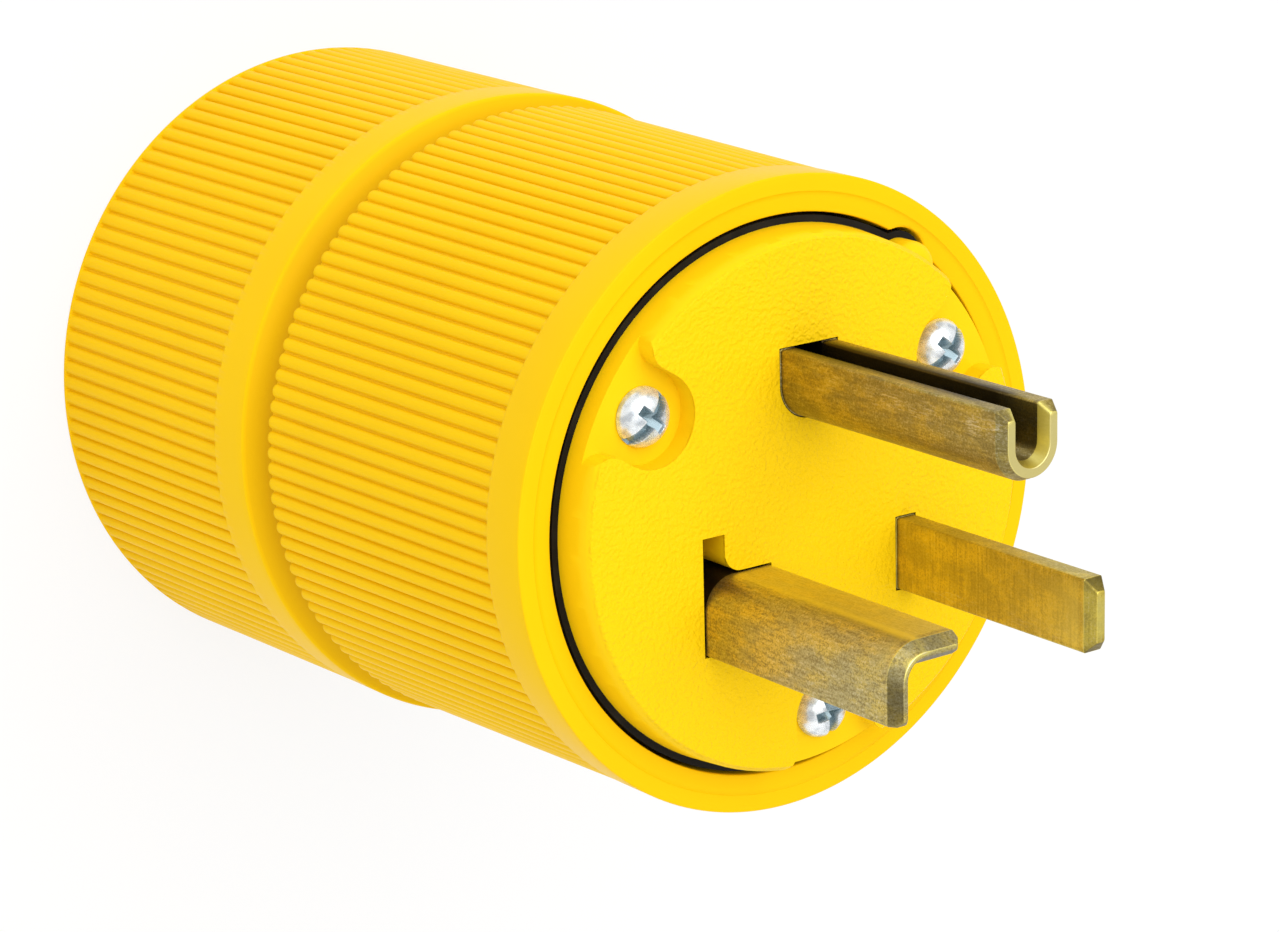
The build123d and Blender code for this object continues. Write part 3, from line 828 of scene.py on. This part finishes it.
@dataclass
class Blade:
    """One blade: a band of metal bent along a path in the face's plane, with a bevelled tip and a shank."""

    name: str
    node: str
    # The band's middle line, its thickness and its ends
    start: Pair
    heading: float
    first: float
    bend: float
    turn: float
    last: float
    thickness: float
    tip: float
    foot: float = 69.9
    # The tip's bevel and cut corners, and how far the band fills its slot below the face
    bevel: float = 0.5
    bevel_length: float = 0.7
    corner: float = 1.0
    corner_length: float = 1.0
    corner_round: float = 0.22
    corner_row: float = 0.04
    tip_soft: float = 0.05
    slot_fill: Pair = (0.12, 0.12)
    slot_start: float = 0.05
    # The shank with its screw hole, and the shoulder
    shank_middle: Pair = (0.0, 0.0)
    shank_normal: float = 0.0
    shank_size: Pair = (9.0, 2.0)
    shank_span: Pair = (44.9, 69.9)
    shoulder: Pair = (0.0, 0.0)
    shoulder_height: float = 2.0
    screw_level: float = 49.9
    screw_hole: float = 2.1
    # Rubbing and painted highlights (above 0), grime and painted shade (below 0), then how far each reaches
    edge_wear: float = 0.1
    end_wear: float = 0.35
    bevel_dark: float = 0.25
    bevel_highlight: float = 0.0
    inner_shade: float = 0.0
    tip_wear: float = 0.0
    bend_highlight: float = 0.0
    leg_highlight: float = 0.0
    ridge_highlight: float = 0.3
    ridge_dark: float = 0.2
    streak_highlight: float = 0.5
    edge_fade: float = 0.3
    tip_fade: float = 5.0
    ridge_fade: float = 0.03
    ridge_dark_below: float = 0.3
    ridge_dark_width: float = 0.25
    highlight_reach: float = 1.2
    streak_width: float = 0.4
    streak_fade: float = 9.0
    bevel_start: float = 0.04
    inner_start: float = 2.0
    inner_rise: float = 5.0
    step: float = 0.06
    # Rows of points below the tip, about the bevel's end and about the face, and points along the band
    tip_rows: tuple[float, ...] = (0.0, 0.02, 0.06, 0.1)
    bevel_rows: tuple[float, ...] = (-0.04, 0.0, 0.04, 0.15, 0.3, 0.5, 0.8)
    side_rows: tuple[float, ...] = (2.5, 6.0, 12.0, 20.0)
    face_rows: tuple[float, ...] = (-0.1, 0.02, 0.08, 0.5)
    band_points: int = 61
    round_points: int = 6
    shank_points: int = 64
    crease: float = 20.0

    def arc(self) -> float:
        """Length of the bend's arc."""
        return self.bend * abs(math.radians(self.turn))

    def length(self) -> float:
        """Length of the band's middle line."""
        return self.first + self.arc() + self.last

    def sunk(self) -> float:
        """Depth below the tip at which the band enters its slot."""
        return self.tip - FACE_LEVEL

    def in_slot(self, depth: np.ndarray) -> np.ndarray:
        """Rise from 0 above the face to 1 in the slot."""
        return soft_step(depth, self.sunk() + self.slot_start, self.step)

    def path(self, along: np.ndarray) -> tuple[np.ndarray, np.ndarray]:
        """Follow the band's middle line: straight, then an arc, then straight.

        Args:
            along: distances along the line in millimetres.

        Returns:
            The points, and the unit normals to their left.
        """
        h0 = math.radians(self.heading)
        sense = 1.0 if self.turn >= 0 else -1.0
        heading = h0 + sense * np.clip(along - self.first, 0.0, self.arc()) / self.bend
        end = h0 + sense * self.arc() / self.bend
        straight = np.minimum(along, self.first)
        rest = np.maximum(along - self.first - self.arc(), 0.0)
        curved_x = sense * self.bend * (np.sin(heading) - math.sin(h0))
        curved_y = -sense * self.bend * (np.cos(heading) - math.cos(h0))
        x = self.start[0] + straight * math.cos(h0) + curved_x + rest * math.cos(end)
        y = self.start[1] + straight * math.sin(h0) + curved_y + rest * math.sin(end)
        return np.stack([x, y], axis=-1), np.stack([-np.sin(heading), np.cos(heading)], axis=-1)

    def rows(self) -> np.ndarray:
        """Depths below the tip of the band's rings of points, deepest first, as a column."""
        first, last = self.tip_rows[-1], self.bevel_length + 2 * self.bevel_rows[0]
        below = spread(
            np.array(self.tip_rows),
            np.linspace(first, last, 4),
            self.bevel_length + np.array(self.bevel_rows),
            self.corner_length + np.array([0.0, self.corner_row]),
            np.array(self.side_rows),
            self.sunk() + np.array(self.face_rows),
            np.array([self.tip - self.foot]),
        )
        return below[::-1, None]

    def band(self, draft: Draft) -> None:
        """Add the bent band, from its foot to its bevelled tip.

        Each level is a ring of points at path(s) +- h(s) * normal, with the half thickness h rounded off
        towards both ends; near the tip h shrinks by the bevel and the ends by the cut corners.

        Args:
            draft: the draft to add to.
        """
        total = self.length()
        r = self.corner_round
        near = r * (1 - np.cos(np.radians(np.linspace(0.0, 90.0, self.round_points))))
        share = spread(near / total, 1 - near / total, np.linspace(0.0, 1.0, self.band_points))
        depth = self.rows()
        soft = self.tip_soft * (1 - quarter_round(depth / self.step))
        inset = self.bevel * np.clip(1 - depth / self.bevel_length, 0.0, 1.0) + soft
        in_slot = self.in_slot(depth)
        trim = self.corner * np.clip(1 - depth / self.corner_length, 0.0, 1.0) + soft
        trim = trim - max(self.slot_fill) * in_slot
        along = trim + share[None, :] * (total - 2 * trim)
        to_end = np.minimum(along - trim, total - trim - along)
        half = self.thickness / 2 - inset - r + r * quarter_round(to_end / r)
        points, normals = self.path(along)
        right_fill, left_fill = (fill * in_slot for fill in self.slot_fill)
        left = points + normals * (half + left_fill)[..., None]
        right = points - normals * (half + right_fill)[..., None]
        ring = np.concatenate([right, left[:, ::-1]], axis=1)
        level = np.broadcast_to((self.tip - depth)[..., None], ring.shape[:-1] + (1,))
        right_marks, left_marks = self.wear_and_painted_light(along, to_end, depth)
        wear_and_painted_light = np.clip(np.concatenate([right_marks, left_marks[:, ::-1]], axis=1), -1.0, 1.0)
        index = draft.add_points(np.concatenate([ring, level], axis=-1), wear_and_painted_light)
        draft.skin(index, ring_v=True)
        count = len(share)
        for row, flip in ((index[-1], False), (index[0], True)):
            pair = np.stack([row[:count], row[count:][::-1]])
            draft.skin(pair[::-1] if flip else pair)

    def wear_and_painted_light(self, along: np.ndarray, to_end: np.ndarray, depth: np.ndarray) -> tuple[np.ndarray, np.ndarray]:
        """Work out where the band is lighter (above 0) and darker (below 0): rubbing and grime, painted
        highlights on the bevel's ridge, the bend and the leg, and painted shade in the slot and inside the U.

        Bell and falling curves about the edges, the bevel, the bend and the tip are added up for each side.

        Args:
            along: distances along the middle line.
            to_end: distances to the nearer end of the line.
            depth: distances below the tip.

        Returns:
            The wear of the right side and of the left side of the path.
        """
        ridge = self.bevel_length
        past_bend = along - self.first - self.arc()
        bevelled = soft_step(depth, self.bevel_start, self.step) * (1 - soft_step(depth, ridge, self.step))
        both = self.edge_wear * fade(to_end, self.edge_fade)
        # painted highlight: a bright line along the bevel's ridge
        both = both + self.ridge_highlight * fade(depth - ridge, self.ridge_fade)
        both = both + self.end_wear * (1 - soft_step(depth, self.tip_soft, self.step))
        both = both + self.tip_wear * fade(depth, self.tip_fade)
        # a darker band just below the bevel's ridge
        both = both - self.ridge_dark * bell(depth - ridge - self.ridge_dark_below, self.ridge_dark_width)
        # painted shade: the band goes dark inside its slot below the face
        both = both - self.in_slot(depth)
        # painted highlight: a pale band over the bend's arc and along its end, on the left side
        arc_highlight = bell(past_bend + self.arc() / 2, self.highlight_reach) * fade(depth, self.highlight_reach)
        streak = self.streak_highlight * bell(past_bend, self.streak_width) * fade(depth, self.streak_fade)
        left = both + self.bend_highlight * (arc_highlight + streak)
        # painted highlight: the leg past the bend is lighter on its left side
        left = left + self.leg_highlight * soft_step(past_bend, -self.streak_width, self.highlight_reach)
        # painted shade: the left side darkens deeper down, inside the U
        left = left - self.inner_shade * soft_step(depth, ridge + self.inner_start, self.inner_rise)
        # painted highlight on the left side's bevel; the bevels on both sides are also darkened
        left = left + (self.bevel_highlight - self.bevel_dark) * bevelled
        return both - self.bevel_dark * bevelled, left

    def shank(self, draft: Draft) -> None:
        """Add the flat shank below the block, bored for the terminal screw.

        It is a plate: a ring r(a) = min(half width / |cos a|, half height / |sin a|) about a round hole.

        Args:
            draft: the draft to add to.
        """
        side, face = self.shank_axes()
        width, thick = self.shank_size
        low, high = self.shank_span
        corner = math.atan2((high - low) / 2, width / 2)
        corners = np.array([corner, np.pi - corner, np.pi + corner, 2 * np.pi - corner])
        turn = spread(circle(self.shank_points), corners)
        cosine, sine = np.cos(turn), np.sin(turn)
        reach = np.minimum(
            width / 2 / np.clip(np.abs(cosine), TINY, None),
            (high - low) / 2 / np.clip(np.abs(sine), TINY, None),
        )
        outer = np.stack([reach * cosine, (low + high) / 2 + reach * sine], axis=1)
        hole = np.stack([self.screw_hole * cosine, self.screw_level + self.screw_hole * sine], axis=1)
        rings = []
        for flat, offset in ((outer, -thick / 2), (outer, thick / 2), (hole, thick / 2), (hole, -thick / 2)):
            plan = np.array(self.shank_middle) + flat[:, :1] * side + offset * face
            rings.append(np.concatenate([plan, flat[:, 1:]], axis=1))
        draft.skin(draft.add_points(np.stack(rings)), ring_u=True, ring_v=True)

    def shank_axes(self) -> tuple[np.ndarray, np.ndarray]:
        """Unit directions across the shank's width and out of its face."""
        normal = math.radians(self.shank_normal)
        return np.array([-math.sin(normal), math.cos(normal)]), np.array([math.cos(normal), math.sin(normal)])

    def add_shoulder(self, draft: Draft) -> None:
        """Add the plain block on top of the shank that the face traps."""
        side, face = self.shank_axes()
        aside, broad = self.shoulder
        across, out = np.array([[-1, -1], [1, -1], [1, 1], [-1, 1]]).T[:, :, None] / 2
        plan = np.array(self.shank_middle) + (aside + across * broad) * side
        plan = plan - out * self.shank_size[1] * face
        foot = self.shank_span[1]
        levels = (foot, foot + self.shoulder_height)
        block = np.stack([np.column_stack([plan, np.full(len(plan), z)]) for z in levels])
        # painted shade: the shoulder below the face is painted fully dark
        index = draft.add_points(block, np.full(block.shape[:-1], -1.0))
        draft.skin(index, ring_v=True)
        draft.skin(index[1][[[0, 3], [1, 2]]][::-1])
        draft.skin(index[0][[[0, 3], [1, 2]]])

    def build(self, finish: bpy.types.Material) -> None:
        """Make the blade and seat it."""
        draft = Draft()
        self.band(draft)
        self.shank(draft)
        if self.shoulder[1] > 0:
            self.add_shoulder(draft)
        piece = new_object(self.name, draft.mesh(self.name))
        smooth_by_angle(piece.data, self.crease)
        seat(piece, finish, "blade", self.node)


@dataclass
class FaceScrews:
    """Three pan-head screws with a slot crossed by a pointed recess."""

    slot_turn: tuple[float, ...] = (46.0, 44.0, 104.0)
    floor: float = 73.7
    # The head's dome and side, and the shank
    head_radius: float = 2.55
    head_height: float = 1.9
    head_under: float = 0.08
    head_edge: float = 0.1
    crown_share: float = 0.985
    dome_inner: float = 2.4
    dome_outer: float = 0.6
    side: float = 0.2
    side_row: float = 0.6
    shank_radius: float = 1.75
    shank_length: float = 30.0
    point_share: float = 0.55
    point_length: float = 1.2
    point_flat: float = 0.05
    # The slot and the crossed recess
    slot_half: float = 0.45
    slot_depth: float = 0.8
    cross_half: float = 0.42
    cross_reach: float = 1.45
    cross_depth: float = 1.6
    cross_taper: float = 1.25
    drive_edge: float = 0.1
    wing_edge: float = 0.12
    least_height: float = 0.15
    # painted shade in the drive's recess, starting at this depth
    shade_depth: float = 0.3
    shade_rise: float = 0.4
    # How finely it is drawn
    hair: float = 0.02
    around_points: int = 220
    rings: int = 64
    crease: float = 45.0

    def head(self, radius: np.ndarray) -> np.ndarray:
        """Height of the plain head: side + crown * (1 - (r / R)^2.4)^0.6, a dome on a short side."""
        share = np.clip(radius / self.head_radius, 0.0, 1.0)
        return self.side + (self.head_height - self.side) * (1 - share**self.dome_inner) ** self.dome_outer

    def recess(self, x: np.ndarray, y: np.ndarray) -> np.ndarray:
        """Depth of the drive at a place on the head.

        Args:
            x: distance along the slot.
            y: distance across it.

        Returns:
            The deeper of the slot and the crossed recess, which gets deeper to its middle.
        """
        along = 1 - soft_step(np.abs(y), self.slot_half, self.drive_edge)
        taper = self.cross_reach * self.cross_taper
        depth = self.cross_depth * np.clip(1 - np.hypot(x, y) / taper, 0.0, 1.0)
        wing = 1 - soft_step(np.abs(x), self.cross_half, self.drive_edge)
        wing = wing * (1 - soft_step(np.abs(y), self.cross_reach, self.wing_edge))
        return np.maximum(self.slot_depth * along, depth * np.maximum(wing, along))

    def add_screw(self, draft: Draft, degrees: float, turn: float) -> None:
        """Add one screw: its top is a height over a disc, and its profile goes on round the shank.

        Args:
            draft: the draft to add to.
            degrees: the screw's angle about the plug's axis.
            turn: the slot's angle.
        """
        around = circle(self.around_points)[None, :]
        ring = np.linspace(self.hair, self.head_radius * self.crown_share, self.rings)[::-1, None]
        sunk = self.recess(ring * np.cos(around), ring * np.sin(around))
        height = np.maximum(self.head(ring) - sunk, self.least_height)
        stem = self.shank_length
        below = np.array(
            [
                [self.point_flat, -stem],
                [self.shank_radius * self.point_share, self.point_flat - stem],
                [self.shank_radius, self.point_length - stem],
                [self.shank_radius, -self.hair],
                [self.shank_radius, 0.0],
                [self.head_radius - self.head_under, 0.0],
                [self.head_radius, self.head_edge],
            ]
        )
        side_top = np.minimum(self.side, height[:1])
        radius = np.concatenate([below[:, :1], [[self.head_radius], [self.head_radius]], ring])
        lower = np.broadcast_to(below[:, 1:], (len(below), around.size))
        rise = np.concatenate([lower, self.side_row * side_top, side_top, height])
        spin = around + math.radians(turn)
        place = math.radians(degrees)
        centre_x, centre_y = SCREW_CIRCLE * math.cos(place), SCREW_CIRCLE * math.sin(place)
        x = centre_x + radius * np.cos(spin)
        y = centre_y + radius * np.sin(spin)
        plain = np.zeros((len(below) + 2, around.size))
        # painted shade: the drive's recess darkens with its depth
        recess_shade = np.concatenate([plain, soft_step(sunk, self.shade_depth, self.shade_rise)])
        index = draft.add_points(np.stack([x, y, self.floor + rise], axis=-1), recess_shade)
        draft.skin(index, ring_v=True)
        middles = (self.floor + float(height[-1].mean()), self.floor - stem)
        # the head's middle point gets full painted shade, the shank's end none
        ends = draft.add_points(np.array([[centre_x, centre_y, z] for z in middles]), np.array([1.0, 0.0]))
        draft.fan(index[-1], ends[0])
        draft.fan(index[0][::-1], ends[1])

    def build(self, finish: bpy.types.Material) -> None:
        """Make the three screws as one piece and seat it."""
        draft = Draft()
        for degrees, turn in zip(SCREW_ANGLES, self.slot_turn):
            self.add_screw(draft, degrees, turn)
        piece = new_object("face_screw_set", draft.mesh("face_screw_set"))
        smooth_by_angle(piece.data, self.crease)
        seat(piece, finish, "zinc_screw", "face_screws")


@dataclass
class InnerPieces:
    """The hidden CAD nodes that keep their shape and only get a finish."""

    mouldings: tuple[str, ...] = ("terminal_block", "clamp_jaw_fixed", "clamp_jaw_moving")
    plates: tuple[str, ...] = ("line_clamp", "neutral_clamp", "ground_clamp")

    def dress(self, finish: bpy.types.Material, *nodes: str) -> None:
        """Give CAD nodes their finish."""
        for node in nodes:
            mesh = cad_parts[node].data
            mesh.materials.clear()
            mesh.materials.append(finish)
            LOG.info("%s: finish %s", node, finish.name)

    def dress_all(self) -> None:
        """Give every hidden node its finish."""
        moulding = DarkMoulding("black_moulding")
        rubber = DarkMoulding("black_rubber", (0.018, 0.018, 0.018), (0.035, 0.034, 0.032), roughness=0.75)
        plate = PlatedMetal("stamped_brass", (0.66, 0.48, 0.18), (0.42, 0.3, 0.12), roughness=0.34)
        zinc = PlatedMetal("clamp_zinc", (0.72, 0.75, 0.78), (0.55, 0.57, 0.6), roughness=0.25)
        brass = PlatedMetal("turned_brass", (0.72, 0.53, 0.2), (0.5, 0.36, 0.14), roughness=0.26)
        nickel = PlatedMetal("nickel", (0.7, 0.69, 0.66), (0.55, 0.54, 0.5), roughness=0.24)
        green = PlatedMetal("green_dye", (0.05, 0.28, 0.09), (0.08, 0.2, 0.08), roughness=0.32)
        self.dress(moulding.make(), *self.mouldings)
        self.dress(rubber.make(), "cord_bushing")
        self.dress(plate.make(), *self.plates)
        self.dress(brass.make(), "line_screw")
        self.dress(nickel.make(), "neutral_screw")
        self.dress(green.make(), "ground_screw")
        self.dress(zinc.make(), "clamp_screws")


@dataclass(frozen=True)
class Softbox:
    """A square white area lamp aimed at the plug, in metres and watts."""

    name: str
    place: Place
    size: float
    power: float

    def build(self, target: Place) -> None:
        """Hang the lamp and turn it to the target."""
        lamp = bpy.data.lights.new(self.name, "AREA")
        lamp.size = self.size
        lamp.energy = self.power
        obj = new_object(self.name, lamp)
        aim = np.array(target) - np.array(self.place)
        obj.rotation_mode = "QUATERNION"
        obj.rotation_quaternion = Vector(aim).to_track_quat("-Z", "Y")
        obj.location = self.place


@dataclass
class Studio:
    """The pale floor, the soft light and the camera at the photograph's angle."""

    # The camera fitted to the photograph
    image_width_px: int = 1279
    focal_px: float = 3868.65
    sensor_mm: float = 36.0
    clip_m: Pair = (0.01, 20.0)
    camera_mm: Place = (-196.67, 91.41, 318.57)
    right: Place = (0.80076, -0.02516, 0.59846)
    down: Place = (-0.18115, -0.96251, 0.20191)
    forward: Place = (0.57094, -0.27009, -0.77529)
    # Floor and light
    floor_reach: float = 3.0
    floor_colour: Colour = (0.86, 0.86, 0.86)
    floor_roughness: float = 0.9
    floor_glow: float = 0.8
    white: Colour = (1.0, 1.0, 1.0)
    ambient: float = 0.74
    target: Place = (0.0, 0.0, 0.05)
    lamps: tuple[Softbox, ...] = (
        Softbox("key_box", (-0.05, 0.6, 1.1), size=1.5, power=13.4),
        Softbox("side_fill", (-0.8, 0.1, 0.5), size=0.8, power=0.25),
        Softbox("low_fill", (-0.2, -0.75, 0.5), size=1.0, power=1.4),
    )

    def floor(self) -> None:
        """A wide pale floor under the rear end, plain white to the camera but for the plug's shadow."""
        mesh = bpy.data.meshes.new("studio_floor")
        corners = np.array([(-1, -1, 0), (1, -1, 0), (1, 1, 0), (-1, 1, 0)]) * self.floor_reach
        mesh.from_pydata(corners.tolist(), [], [(0, 1, 2, 3)])
        g = Graph("pale_floor")
        g.surface(Base_Color=self.floor_colour, Roughness=self.floor_roughness)
        rays = g.node("ShaderNodeLightPath", {}, {})
        seen = Signal(g, rays.outputs["Is Camera Ray"]) + Signal(g, rays.outputs["Is Glossy Ray"])
        seen = g.math("MINIMUM", seen + Signal(g, rays.outputs["Is Transmission Ray"]), 1.0)
        glow = g.node("ShaderNodeEmission", {}, {"Color": self.white, "Strength": 1.0})
        mixed = g.node("ShaderNodeMixShader", {}, {0: seen * self.floor_glow})
        g.tree.links.new(g.shader.outputs["BSDF"], mixed.inputs[1])
        g.tree.links.new(glow.outputs["Emission"], mixed.inputs[2])
        g.tree.links.new(mixed.outputs["Shader"], g.output.inputs["Surface"])
        mesh.materials.append(g.material)
        obj = new_object("studio_floor", mesh)

    def world(self) -> None:
        """An even white surround."""
        made = bpy.data.worlds.new("studio_world")
        made.use_nodes = True
        sky = made.node_tree.nodes["Background"]
        sky.inputs["Color"].default_value = (*self.white, 1.0)
        sky.inputs["Strength"].default_value = self.ambient
        bpy.context.scene.world = made

    def camera(self) -> None:
        """The camera fitted to the photograph."""
        lens = bpy.data.cameras.new("photo_camera")
        lens.sensor_fit = "HORIZONTAL"
        lens.sensor_width = self.sensor_mm
        lens.lens = self.focal_px / self.image_width_px * self.sensor_mm
        lens.clip_start, lens.clip_end = self.clip_m
        obj = new_object("photo_camera", lens)
        place = np.array(self.camera_mm) * MM
        axes = (np.array(self.right), -np.array(self.down), -np.array(self.forward), place)
        turn = Matrix.Identity(4)
        for column, axis in enumerate(axes):
            for row in range(3):
                turn[row][column] = axis[row]
        obj.matrix_world = turn
        bpy.context.scene.camera = obj

    def build(self) -> None:
        """Set up the floor, the light and the camera."""
        scene = bpy.context.scene
        scene.view_settings.view_transform = "Standard"
        self.floor()
        self.world()
        for lamp in self.lamps:
            lamp.build(self.target)
        self.camera()


def blades() -> list[tuple[Blade, AgedBrass]]:
    """The three blades with the sizes of the source, each with its own brass."""
    line = Blade(
        "line_blade_metal", "line_blade",
        start=(10.4, -9.325), heading=90.0, first=3.0, bend=1.0, turn=0.0, last=3.35,
        thickness=2.0, tip=100.0,
        bevel=0.56, bevel_length=1.0, shank_middle=(10.4, -6.15), shoulder=(0.0, 12.0),
        tip_wear=0.3, edge_wear=-0.3, end_wear=-0.1, bevel_dark=0.5,
    )
    neutral = Blade(
        "neutral_blade_metal", "neutral_blade",
        start=(-10.4, -10.9), heading=90.0, first=3.65, bend=2.0, turn=-90.0, last=3.9,
        thickness=2.0, tip=100.0,
        bevel=0.8, bevel_length=1.15, corner=0.5, corner_length=0.6, slot_fill=(0.0, 0.0),
        shank_middle=(-10.4, -7.575), shank_normal=180.0, shoulder=(2.84, 6.325),
        bend_highlight=0.8, leg_highlight=0.22, end_wear=0.0, bevel_dark=0.5,
    )
    ground = Blade(
        "ground_blade_metal", "ground_blade",
        start=(-2.2, 13.95), heading=-90.0, first=3.1, bend=2.2, turn=180.0, last=3.1,
        thickness=1.6, tip=103.2,
        bevel=0.42, bevel_length=1.05, corner=0.75, corner_length=1.0, slot_fill=(0.12, 0.0),
        shank_middle=(0.0, 8.65), shank_normal=90.0, shank_size=(9.0, 1.6), shank_span=(44.9, 71.9),
        edge_wear=-0.1, end_wear=0.6, bevel_dark=0.2, bevel_highlight=0.6, inner_shade=0.6,
    )
    line_brass = AgedBrass(
        "line_brass", stretch=(1.0, 0.06, 1.0),
        gold=(0.72, 0.56, 0.09), olive=(0.54, 0.43, 0.09), brown=(0.34, 0.245, 0.05),
        film=0.55, scratch=0.35, scratch_y=-8.4, scratch_reach=0.8,
    )
    neutral_brass = AgedBrass(
        "neutral_brass", stretch=(1.0, 1.0, 0.16),
        gold=(0.64, 0.49, 0.12), olive=(0.47, 0.4, 0.18), brown=(0.26, 0.2, 0.08),
        lines=0.32, film=0.85,
    )
    ground_brass = AgedBrass(
        "ground_brass", stretch=(1.0, 1.0, 0.1),
        gold=(0.48, 0.36, 0.075), olive=(0.33, 0.265, 0.09), brown=(0.18, 0.13, 0.04),
        lines=0.3, film=0.65, scratch=0.6, scratch_y=12.3, scratch_reach=1.2,
    )
    return [(line, line_brass), (neutral, neutral_brass), (ground, ground_brass)]


def main() -> None:
    """Build the plug's pieces in order, then the studio."""
    logging.basicConfig(level=logging.INFO, format="%(message)s")
    shell = MouldedYellow("yellow_shell", Grain.SATIN)
    face = MouldedYellow(
        "yellow_face", Grain.STIPPLE, (0.93, 0.6, 0.004), (0.85, 0.46, 0.002),
        roughness=0.4, gloss=0.06, grain_above=FACE_LEVEL - 0.05,
    )
    zinc = PlatedMetal("bright_zinc", (0.84, 0.88, 0.9), (0.4, 0.44, 0.48), roughness=0.28, metal=0.65)
    Housing().build(shell.make())
    FaceInsert().build(face.make())
    for blade, brass in blades():
        blade.build(brass.make())
    FaceScrews().build(zinc.make())
    InnerPieces().dress_all()
    Studio().build()


if __name__ == "__main__":
    main()
